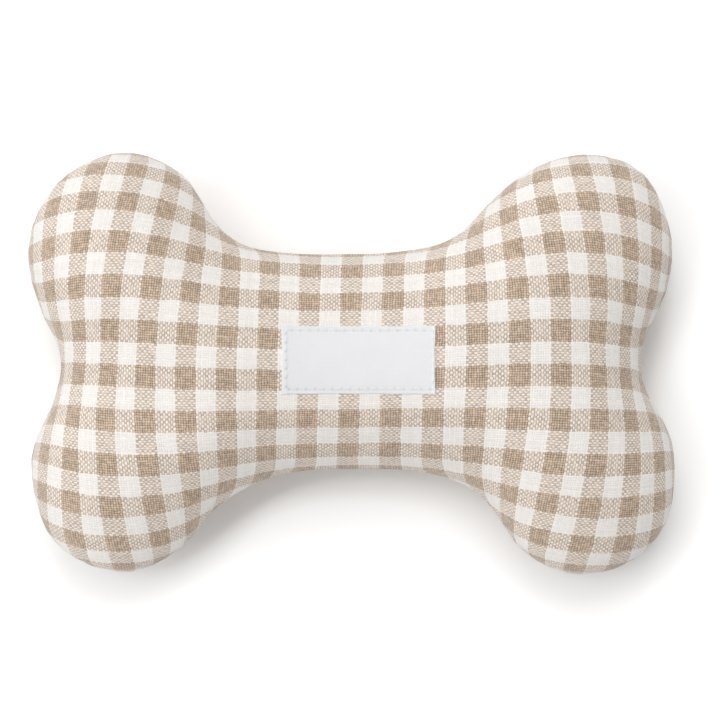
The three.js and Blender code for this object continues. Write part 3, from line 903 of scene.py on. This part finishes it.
# Stuffing: one clump of fibre for each wad, kept clear of the cloth round it
WADS = [
    ("stuffing_knob_left_upper", "bend"),
    ("stuffing_knob_left_lower", "bend"),
    ("stuffing_knob_right_upper", "bend"),
    ("stuffing_knob_right_lower", "bend"),
    ("stuffing_shaft_back", "root"),
    ("stuffing_shaft_side_upper", "bend"),
    ("stuffing_shaft_side_lower", "bend"),
    ("stuffing_shaft_middle", "squash"),
    ("stuffing_shaft_front", "press"),
]
CLOTH_CLEARANCE = 0.0012
CLOTH_REACH = 0.006
FIBRE_STEP = 0.0016
TUFT = 0.006
TUFT_HEIGHT = 0.0006
STRAND = 0.0022
STRAND_HEIGHT = 0.0003
POCKET_GAP = 0.0008
POCKET_RIM = 0.010
POCKET_FLOOR = 0.0035
POCKET_TOP = 0.001


def fibre_wad(node, seed):
    made = placed(node.replace("stuffing", "fibre"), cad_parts[node].data.copy())
    made.data.materials.clear()
    modify(made, "REMESH", mode="VOXEL", voxel_size=FIBRE_STEP)
    modify(made, "SMOOTH", factor=0.5, iterations=4)
    apply_modifiers(made)
    points = vertex_array(made.data)
    tufts = 0.5 + 0.5 * noise_at(points, TUFT, seed)
    strands = 0.5 + 0.5 * noise_at(points * np.array([1, 1, 2.5]), STRAND, seed + 3)
    hollow = TUFT_HEIGHT * tufts + STRAND_HEIGHT * (1 + strands)
    points = points - vertex_array(made.data, "normal") * hollow[:, None]
    for tree in (front_tree, back_tree):
        for index, point in enumerate(points):
            place, facing, _, apart = tree.find_nearest(Vector(point))
            over = (Vector(point) - place).dot(facing)
            if over > -CLOTH_CLEARANCE and apart < CLOTH_REACH:
                points[index] = place - facing * (CLOTH_CLEARANCE + TUFT_HEIGHT / 3 * tufts[index])
    # The pocket round the squeaker has upright sides, so that the squeaker can flatten in it
    if node in ("stuffing_shaft_back", "stuffing_shaft_middle"):
        reach = np.hypot(points[:, 0], points[:, 1])
        room = BLADDER_R + POCKET_GAP
        in_pocket = (reach < room) & (reach > POCKET_RIM)
        in_pocket &= points[:, 2] > BLADDER_LOW.z + POCKET_FLOOR
        in_pocket &= points[:, 2] < BLADDER_HIGH.z - POCKET_TOP
        outwards = points[in_pocket, :2] / reach[in_pocket, None]
        points[in_pocket, :2] = outwards * room
    set_vertices(made.data, points)
    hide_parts(node)
    return made


wads = [fibre_wad(node, 20 + number) for number, (node, _) in enumerate(WADS)]
for wad, (node, way) in zip(wads, WADS):
    if way == "bend":
        follow_press(wad)
    else:
        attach(wad, "press" if way == "press" else "root")
middle_wad = wads[7]
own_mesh(middle_wad)


# Squeaker: turned shapes, with the turn and the run along the profile as their cloth places
def turned(name, profile, segments):
    profile = np.asarray(profile, float)
    points, places = [], []
    for angle in np.linspace(0, 2 * math.pi, segments, endpoint=False):
        for (radius, height), length in zip(profile, run_along(profile)):
            points.append((radius * math.cos(angle), radius * math.sin(angle), height))
            places.append((angle, length * 1000))
    grid = np.arange(len(points)).reshape(segments, -1)
    grid = np.c_[grid, grid[:, 0]]
    faces = grid_quads(np.vstack([grid, grid[:1]]))[:, [0, 3, 2, 1]].tolist()
    return new_object(name, points, faces, places)


def superellipse(radius, half_height, start, end, steps, power=2.6):
    """Points of the profile between two angles from the lower pole, in radians."""
    spots = []
    for angle in np.linspace(start, end, steps):
        across, up = math.sin(angle), -math.cos(angle)
        r = radius * abs(across) ** (2 / power)
        z = half_height * math.copysign(abs(up) ** (2 / power), up)
        spots.append((r, z))
    return spots


BLADDER_WALL = 0.0009
HOLE_R = 0.0047
AXIS_R = 0.00002
RIDGE = 0.00022
FACE_STEPS = (0.0135, 0.0165)
FACE_STEP_DEPTH = 0.00025
FACE_STEP_WIDTH = 0.0005
SIDE_WALL_HALF = 0.004


def bladder_profile():
    """The wall from the hole round the outside to the upper pole, then back down the inside."""
    walls = []
    for inset, steps in ((0, 120), (BLADDER_WALL, 80)):
        radius, half_height = BLADDER_R - inset, BLADDER_HALF - inset
        wall = superellipse(radius, half_height, 0.02, math.pi - 0.004, steps)
        walls.append([(r, z) for r, z in wall if r > HOLE_R or z > 0])
    outside, inside_wall = walls
    # The mould's parting line at the middle, and two shallow steps on each face
    detailed = []
    for r, z in outside:
        ridge = RIDGE * math.exp(-((z / RIDGE) ** 2))
        step = 0.0
        for place in FACE_STEPS:
            step += FACE_STEP_DEPTH * math.exp(-(((r - place) / FACE_STEP_WIDTH) ** 2))
        detailed.append((r + ridge, z - math.copysign(step, z) * (abs(z) > SIDE_WALL_HALF)))
    hole = [(HOLE_R, outside[0][1] + 0.0001), (HOLE_R, inside_wall[0][1] - 0.0001)]
    pole = [(AXIS_R, BLADDER_HALF), (AXIS_R, BLADDER_HALF - BLADDER_WALL)]
    profile = [hole[0]] + detailed + pole + inside_wall[::-1] + [hole[1]]
    centre = (BLADDER_HIGH.z + BLADDER_LOW.z) / 2
    return [(r, z + centre) for r, z in profile]


bladder = turned("bladder", bladder_profile(), 96)
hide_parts("squeaker_bladder")
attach(bladder, "root")
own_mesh(bladder)


def rounded(corners, radius, steps=4):
    """A closed profile with its corners rounded off."""
    corners = [np.array(c) for c in corners]
    spots = []
    for before, here, after in zip(corners[-1:] + corners[:-1], corners, corners[1:] + corners[:1]):
        sides = [before - here, after - here]
        reach = min(radius, *(np.linalg.norm(side) * 0.45 for side in sides))
        start, end = (here + side / np.linalg.norm(side) * reach for side in sides)
        for t in np.linspace(0, 1, steps):
            spots.append(tuple(start * (1 - t) ** 2 + 2 * here * t * (1 - t) + end * t**2))
    return spots


PLUG_BORE = 0.003
PLUG_BODY = 0.0046
PLUG_FLANGE = 0.0070
PLUG_BEAD = 0.0055
PLUG_FLANGE_THICK = 0.0012
PLUG_BEAD_TALL = 0.001
PLUG_ROUNDING = 0.00028
flange_top = PLUG_LOW.z + PLUG_FLANGE_THICK
bead_bottom = BLADDER_LOW.z + BLADDER_WALL + 0.0001
plug_corners = [
    (PLUG_BORE, PLUG_LOW.z),
    (PLUG_FLANGE, PLUG_LOW.z),
    (PLUG_FLANGE, flange_top),
    (PLUG_BODY, flange_top),
    (PLUG_BODY, bead_bottom),
    (PLUG_BEAD, bead_bottom),
    (PLUG_BODY, bead_bottom + PLUG_BEAD_TALL),
    (PLUG_BODY, PLUG_HIGH.z),
    (PLUG_BORE, PLUG_HIGH.z),
]
plug = turned("plug", rounded(plug_corners, PLUG_ROUNDING), 72)
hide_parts("squeaker_plug")
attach(plug, "root")


# The label and its threads follow the press, the front cloth's transform is baked, and the cloth's cut
# size is read from its own weave
def declare_cloth(panel, outer):
    points, faces = outer
    places = read_places(panel.data)[: len(points)] * CHECK
    area = sum(abs(loop_area(places[face])) for face in faces)


declare_cloth(front, front_outer)
declare_cloth(back, back_outer)
follow_press(front)
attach(back, "root")
for piece in (label, label_needle, label_bobbin):
    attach(piece, "press")


# Material nodes
class Number:
    """A number that a node gives at each place. Arithmetic on it adds math nodes."""

    def __init__(self, socket):
        self.socket = socket

    def calc(self, operation, *others, clamp=False):
        values = enumerate((self, *others))
        return Number(put("Math", values, operation=operation, use_clamp=clamp).outputs[0])

    def __add__(self, other):
        return self.calc("ADD", other)

    def __sub__(self, other):
        return self.calc("SUBTRACT", other)

    def __mul__(self, other):
        return self.calc("MULTIPLY", other)

    def __truediv__(self, other):
        return self.calc("DIVIDE", other)

    def ranged(self, low, high, new_low, new_high):
        """Brought from one range to another, and held inside it."""
        values = enumerate((self, low, high, new_low, new_high))
        return Number(put("MapRange", values, clamp=True).outputs[0])


def put(kind, inputs=(), tree=None, **settings):
    """Adds a node, by default to the tree that its inputs come from. An input that is a socket
    or a number of the tree is linked, and any other is set."""
    values = {place: getattr(value, "socket", value) for place, value in dict(inputs).items()}
    linked = [place for place in values if isinstance(values[place], bpy.types.NodeSocket)]
    if tree is None:
        tree = values[linked[0]].id_data
    node = tree.nodes.new("ShaderNode" + kind)
    set_all(node, **settings)
    for place, value in values.items():
        if place in linked:
            tree.links.new(value, node.inputs[place])
        else:
            node.inputs[place].default_value = value
    return node


def grain(vector, scale, detail=2.0, roughness=0.5):
    """Noise from 0 to 1."""
    values = {"Vector": vector, "Scale": scale, "Detail": detail, "Roughness": roughness}
    return Number(put("TexNoise", values, noise_dimensions="3D").outputs[0])


def mixed(share, first, second, blend_type="MIX"):
    values = {0: share, 6: first, 7: second}
    return put("Mix", values, data_type="RGBA", blend_type=blend_type).outputs[2]


def scaled(vector, share):
    return put("VectorMath", {0: vector, "Scale": share}, operation="SCALE").outputs[0]


def stretched(vector, scale):
    return put("Mapping", {"Vector": vector, "Scale": scale}).outputs[0]


def split(vector):
    """The three parts of a place or a colour, as numbers."""
    return [Number(part) for part in put("SeparateXYZ", {0: vector}).outputs]


def cloth_place(made):
    return put("UVMap", tree=made.node_tree, uv_map="cloth").outputs[0]


def object_place(made):
    return put("TexCoord", tree=made.node_tree).outputs["Object"]


def colour(red, green, blue):
    """A colour given as it looks on a screen, from 0 to 255."""
    parts = [c / 255 for c in (red, green, blue)]
    parts = [c / 12.92 if c <= 0.04045 else ((c + 0.055) / 1.055) ** 2.4 for c in parts]
    return (*parts, 1.0)


def new_material(name):
    made = bpy.data.materials.new(name)
    made.use_nodes = True
    made.node_tree.nodes.clear()
    return made


def finish_material(made, base, height, distance, roughness, constants=()):
    bump = put("Bump", {"Strength": 1.0, "Distance": distance, "Height": height}).outputs[0]
    values = {"Base Color": base, "Roughness": roughness, "Normal": bump, **dict(constants)}
    shader = put("BsdfPrincipled", values)
    put("OutputMaterial", {"Surface": shader.outputs[0]}).is_active_output = True
    return made


# Gingham: a plain weave of dyed and undyed yarns, eight of each in turn along and nine across
LIGHT_YARN = colour(253, 250, 247)
# Painted bounce light: undyed yarn is tinted warm where it crosses dyed yarn
LIGHT_YARN_WARMED_BY_BOUNCE = colour(255, 250, 246)
DARK_YARN = colour(214, 197, 179)
YARN_WIDTH_SHARE = 0.88
YARN_BUMP = 0.00009
YARN_STRAY = 0.9


def gingham():
    made = new_material("gingham")
    cloth = cloth_place(made)
    along = split(cloth)
    # The yarns wander, and thick and thin places push their neighbours aside
    strays = []
    for scale, detail in ((1.7, 2.0), (8.0, 1.0)):
        values = {"Vector": cloth, "Scale": scale, "Detail": detail}
        strays.append(split(put("TexNoise", values).outputs[1]))
    wander, aside = strays
    yarns, shares, dark, heights, tones = {}, {}, {}, {}, {}
    for way, across, count in (("warp", 0, ENDS_PER_CHECK), ("weft", 1, PICKS_PER_CHECK)):
        # The middle of a band falls between two yarns where their number is even
        middle = 0.5 if count % 4 == 0 else 0.0
        moved = wander[across] * YARN_STRAY - (0.4 + middle) + aside[across] * YARN_STRAY
        run = along[across] * count + moved
        yarns[way] = run.calc("FLOOR")
        shares[way] = run - yarns[way] - 0.5
        period = (yarns[way] + middle) / count
        dark[way] = (period - period.calc("ROUND")).calc("ABSOLUTE").calc("LESS_THAN", 0.25)
    # A yarn rises over every second yarn of the other way
    parity = ((yarns["warp"] + yarns["weft"]) * math.pi).calc("COSINE")
    for way, other, side, shift in (("warp", "weft", 1.0, 0.31), ("weft", "warp", -1.0, 5.7)):
        wave = parity * (shares[other] * math.pi).calc("COSINE") * side
        off_axis = shares[way] * (2 / YARN_WIDTH_SHARE)
        mound = (off_axis * off_axis * -1.0 + 1.0).calc("MAXIMUM", 0.0).calc("SQRT")
        heights[way] = wave * 0.6 + mound
        number = yarns[way].calc("MULTIPLY_ADD", 1.37, shift)
        tones[way] = Number(put("TexWhiteNoise", {"W": number}, noise_dimensions="1D").outputs[0])
    rise = heights["warp"] - heights["weft"]
    # The undyed yarn is a little fuller, and no two crossings are alike
    crossing = put("CombineXYZ", {0: yarns["warp"], 1: yarns["weft"]}).outputs[0]
    chance = split(put("TexWhiteNoise", {"Vector": crossing}, noise_dimensions="2D").outputs[1])
    fuller = dark["weft"] * 0.14 - dark["warp"] * 0.2 + chance[0] * 0.36 + 0.32
    over = (rise * 1.1).calc("ADD", fuller, clamp=True)
    # The yarn beneath shows through a little
    over = over * 0.68 + 0.16
    height = heights["warp"].calc("MAXIMUM", heights["weft"])

    # Each yarn's own shade, thick and thin places along it, and its twist
    shades = {}
    drawn_out = {"warp": (9.0, 1.2, 1.0), "weft": (1.2, 9.0, 1.0)}
    for way, other in (("warp", "weft"), ("weft", "warp")):
        slub = grain(stretched(cloth, drawn_out[way]), 4.0)
        tone = tones[way] * 0.06 + slub * 0.12 + 0.91
        # Painted bounce light: undyed yarn that crosses dyed yarn takes the warm tint
        undyed = mixed(dark[other], LIGHT_YARN, LIGHT_YARN_WARMED_BY_BOUNCE)
        shades[way] = scaled(mixed(dark[way], undyed, DARK_YARN), tone)
    yarn_colour = mixed(over, shades["weft"], shades["warp"])
    # The dyed yarn took its dye unevenly
    seen_dark = Number(put("Mix", {0: over, 2: dark["weft"], 3: dark["warp"]}).outputs[0])
    uneven = (chance[1] - 0.5) * (seen_dark * 0.3 + 0.03)
    yarn_colour = scaled(yarn_colour, uneven + 1.0)
    # Painted shade: the weave is darker where it sinks between yarns, down to the yarn colour cubed
    hollow = mixed(1.0, yarn_colour, yarn_colour, "MULTIPLY")
    hollow = mixed(1.0, hollow, yarn_colour, "MULTIPLY")
    base = mixed(height.ranged(0.5, 1.5, 0.0, 1.0), hollow, yarn_colour)
    # Handling and washing leave the cloth very slightly uneven
    wear = grain(object_place(made), 38.0, 3.0).ranged(0.3, 0.7, 0.975, 1.015)
    fibres = grain(stretched(cloth, (ENDS_PER_CHECK, PICKS_PER_CHECK, 1.0)), 5.0, 3.0, 0.6)
    base = scaled(base, wear * fibres.ranged(0.2, 0.8, 0.95, 1.04))
    twist = fibres * 0.35 + height
    rough = wear.ranged(0.975, 1.015, 0.93, 0.86)
    constants = {"Sheen Weight": 0.7, "Sheen Roughness": 0.35, "Specular IOR Level": 0.2}
    return finish_material(made, base, twist, YARN_BUMP, rough, constants)


# Label: a fine satin with faint ribs
LABEL_PICK = 0.00026
LABEL_RIB = 0.00042


def woven_label():
    made = new_material("woven_label")
    cloth = cloth_place(made)
    along = split(cloth)
    ends = along[1] * (CHECK / LABEL_RIB)
    picks = along[0] * (CHECK / LABEL_PICK) + ends.calc("FLOOR") * 0.4
    bead = (picks * (2 * math.pi)).calc("SINE")
    rib = (ends * (2 * math.pi)).calc("SINE")
    streak = grain(stretched(cloth, (40.0, 6.0, 1.0)), 2.0, 3.0)
    height = bead * 0.5 + rib * 0.35 + streak * 0.5
    blotch = grain(cloth, 1.3, 3.0).ranged(0.3, 0.7, -0.012, 0.012)
    base = mixed(streak, colour(246, 246, 249), colour(251, 251, 253))
    # Painted shade: darker where the label's picks and ribs sink, with faint random blotches
    base = scaled(base, height.ranged(-0.7, 1.0, 0.955, 1.0) + blotch)
    # The folded ends are doubled, so less of the gingham shows through them
    folds = ((LABEL_X[0] + LEFT_FOLD, LABEL_X[0]), (LABEL_X[1] - RIGHT_FOLD, LABEL_X[1]))
    doubled = [along[0].ranged(fold / CHECK, end / CHECK, 0.0, 6.0) for fold, end in folds]
    doubled = doubled[0].calc("MAXIMUM", doubled[1], clamp=True)
    base = mixed(doubled, scaled(base, 0.955), base)
    # Painted shade: the label turns grey-green in its needle holes
    hole_shade = put("Attribute", tree=made.node_tree, attribute_name="hole_shade").outputs["Fac"]
    base = mixed(Number(hole_shade) * 0.75, base, colour(196, 203, 199))
    rough = streak.ranged(0.3, 0.7, 0.62, 0.74)
    constants = {"Sheen Weight": 0.1, "Specular IOR Level": 0.3}
    return finish_material(made, base, height, 0.00003, rough, constants)


# Thread: two plies twisted together
def twisted_thread(name, tint):
    made = new_material(name)
    along = split(cloth_place(made))
    ply = (along[0] * 0.9 + along[1]).calc("SINE").calc("ABSOLUTE")
    hairs = grain(object_place(made), 9000.0)
    height = hairs * 0.3 + ply
    # Painted shade: the thread is darker in the groove between its plies
    dull = tuple(0.72 * part for part in tint[:3]) + (1.0,)
    base = mixed(height.ranged(0.1, 0.8, 0.0, 1.0), dull, tint)
    rough = hairs.ranged(0.3, 0.7, 0.6, 0.75)
    constants = {"Sheen Weight": 0.1, "Specular IOR Level": 0.3}
    return finish_material(made, base, height, 0.00005, rough, constants)


# Stuffing: crimped white fibre in tufts
def stuffing():
    made = new_material("stuffing_fibre")
    place = object_place(made)
    bent = put("TexNoise", {"Vector": place, "Scale": 160.0, "Detail": 2.0}).outputs[1]
    bent = put("VectorMath", {0: place, 1: scaled(bent, 0.012)}, operation="ADD").outputs[0]
    strands = grain(stretched(bent, (1.0, 0.22, 1.0)), 2600.0, 4.0, 0.65)
    height = grain(place, 210.0, 3.0) * 2.0 + strands
    # Painted shade: the fibre is greyer where it sinks between tufts and strands
    share = height.ranged(0.7, 2.0, 0.0, 1.0)
    base = mixed(share, colour(206, 205, 203), colour(249, 249, 248))
    rough = strands.ranged(0.3, 0.7, 0.8, 0.95)
    constants = {"Sheen Weight": 0.2, "Specular IOR Level": 0.3}
    return finish_material(made, base, height, 0.0004, rough, constants)


# Plastics of the squeaker
def moulded(name, tint, dull, roughness, grain_size, depth):
    made = new_material(name)
    place = object_place(made)
    skin = grain(place, grain_size, 3.0, 0.6)
    flow = grain(stretched(place, (1.0, 1.0, 0.25)), 240.0)
    base = mixed(flow.ranged(0.3, 0.7, 0.0, 1.0), dull, tint)
    rough = skin.ranged(0.3, 0.7, roughness - 0.06, roughness + 0.06)
    return finish_material(made, base, flow * 0.4 + skin, depth, rough)


def give(pieces, material):
    for piece in pieces:
        piece.data.materials.clear()
        piece.data.materials.append(material)


give([front, back], gingham())
give([label], woven_label())
give([label_needle, label_bobbin], twisted_thread("label_thread", colour(240, 243, 241)))
give([*seam_threads, closing], twisted_thread("seam_thread", colour(240, 236, 229)))
give(wads, stuffing())
shell = moulded("bladder_plastic", colour(242, 243, 241), colour(228, 231, 229), 0.38, 1500.0, 0.00004)
insert = moulded("insert_plastic", colour(244, 243, 238), colour(232, 231, 225), 0.42, 2400.0, 0.00002)
film = moulded("reed_film", colour(232, 237, 239), colour(216, 224, 228), 0.22, 3000.0, 0.00001)
give([bladder], shell)
give([plug], insert)
for node, slot_name, material in (
    ("reed_seat", "insert_plastic", insert),
    ("reed_clamp", "insert_plastic", insert),
    ("reed", "reed_film", film),
):
    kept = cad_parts[node]
    give([kept], material)
    width = 0.00003 if node == "reed" else 0.00012
    modify(kept, "BEVEL", width=width, segments=2, limit_method="ANGLE")

# Floor, light and background
LIT_FROM = (-0.42, 0.62, 0.66)
SHADE_REACH = 0.022
SHADE_FROM = 0.6
SHADE_FALL = 0.55
PAPER_GLOW = 0.265
WHITE_FROM = 0.25
WHITE_BEYOND = 0.8
floor = new_object("floor", [(-2, -2, 0), (2, -2, 0), (2, 2, 0), (-2, 2, 0)], [(0, 1, 2, 3)])


def looked_at(tree):
    """1 for what the camera sees, also in a gloss or through something clear, and 0 for the light."""
    path = put("LightPath", tree=tree).outputs
    seen = Number(path["Is Camera Ray"]).calc("MAXIMUM", path["Is Glossy Ray"])
    return seen.calc("MAXIMUM", path["Is Transmission Ray"])


paper = new_material("floor")
seen = looked_at(paper.node_tree)
# Painted light: the paper glows a little for the camera, as if overexposed, with a painted shadow
# where the toy hides the light from behind and the left; far away it is evenly white
lit_from = put("CombineXYZ", enumerate(LIT_FROM), paper.node_tree).outputs[0]
lit_from = put("VectorMath", {0: lit_from}, operation="NORMALIZE").outputs[0]
open_sky = put("AmbientOcclusion", {"Distance": SHADE_REACH, "Normal": lit_from}, samples=32)
glow = Number(open_sky.outputs["AO"]).ranged(SHADE_FROM, 1.0, 0.0, 1.0)
glow = glow.calc("POWER", SHADE_FALL) * PAPER_GLOW
reach = put("VectorMath", {0: object_place(paper)}, operation="LENGTH").outputs["Value"]
glow = glow.calc("MAXIMUM", Number(reach).ranged(WHITE_FROM, WHITE_BEYOND, 0.0, 1.0))
finish = {
    "Base Color": mixed(seen, (0.9, 0.9, 0.9, 1), (1, 1, 1, 1)),
    "Roughness": 1.0,
    "Specular IOR Level": 0.0,
    "Emission Color": (1, 1, 1, 1),
    "Emission Strength": seen * glow,
}
put("OutputMaterial", {"Surface": put("BsdfPrincipled", finish).outputs[0]})
give([floor], paper)

LAMP_SIZE = 0.7
LAMP_AIM = Vector((0, 0, 0.02))
LAMPS = {
    "high_behind": ((0, 0.65, 1.13), 5.7),
    "high_left": ((-0.65, 0, 1.13), 2.6),
    "low_behind": ((0, 1.18, 0.55), 2.4),
    "low_left": ((-1.18, 0, 0.55), 4.8),
    "low_right": ((1.18, 0, 0.55), 1.5),
    "low_front": ((0, -1.18, 0.55), 2.9),
}
for lamp, (place, watts) in LAMPS.items():
    light = set_all(bpy.data.lights.new(lamp, "AREA"), shape="SQUARE", size=LAMP_SIZE, energy=watts)
    made = placed(lamp, light)
    made.location = place
    made.rotation_euler = (LAMP_AIM - Vector(place)).to_track_quat("-Z", "Y").to_euler()

world = bpy.data.worlds.new("studio")
scene.world = world
world.use_nodes = True
world.node_tree.nodes.clear()
strength = looked_at(world.node_tree) * 0.7 + 0.3
backdrop = put("Background", {"Color": (1, 1, 1, 1), "Strength": strength})
put("OutputWorld", {"Surface": backdrop.outputs[0]})
scene.view_settings.view_transform = "Standard"
